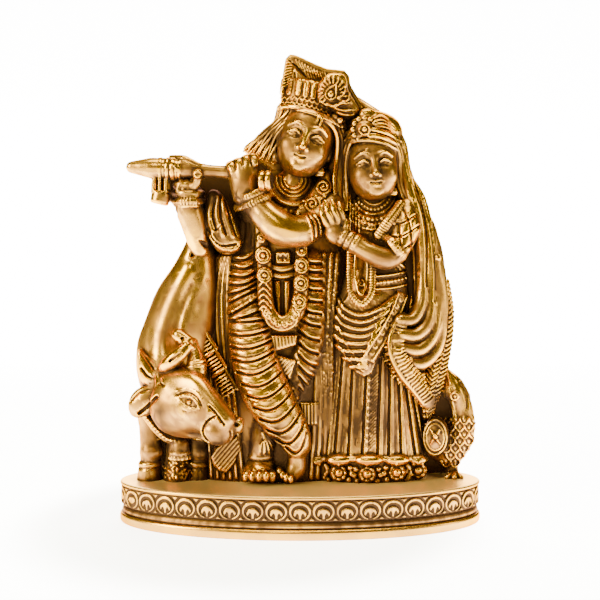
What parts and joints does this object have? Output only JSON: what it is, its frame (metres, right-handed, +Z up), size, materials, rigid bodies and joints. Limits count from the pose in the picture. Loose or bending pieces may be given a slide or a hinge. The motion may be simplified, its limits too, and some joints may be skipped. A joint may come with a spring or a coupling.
{
  "type": "cast brass radha krishna idol",
  "caption": "Cast brass table idol of a flute player with crossed legs and a veiled companion, with a cow and a peacock, on an oval base with a motif band",
  "frame": {"origin": "middle of the flat underside of the oval base", "axes": "+Z up, +X to the right as seen from the front, and the figures face -Y"},
  "size_m": [0.179, 0.0806, 0.23],
  "materials": {
    "brass": "polished yellow brass with dark brown patina in the recesses"
  },
  "bodies": {
    "root": {"idol": "brass"}
  },
  "joints": []
}
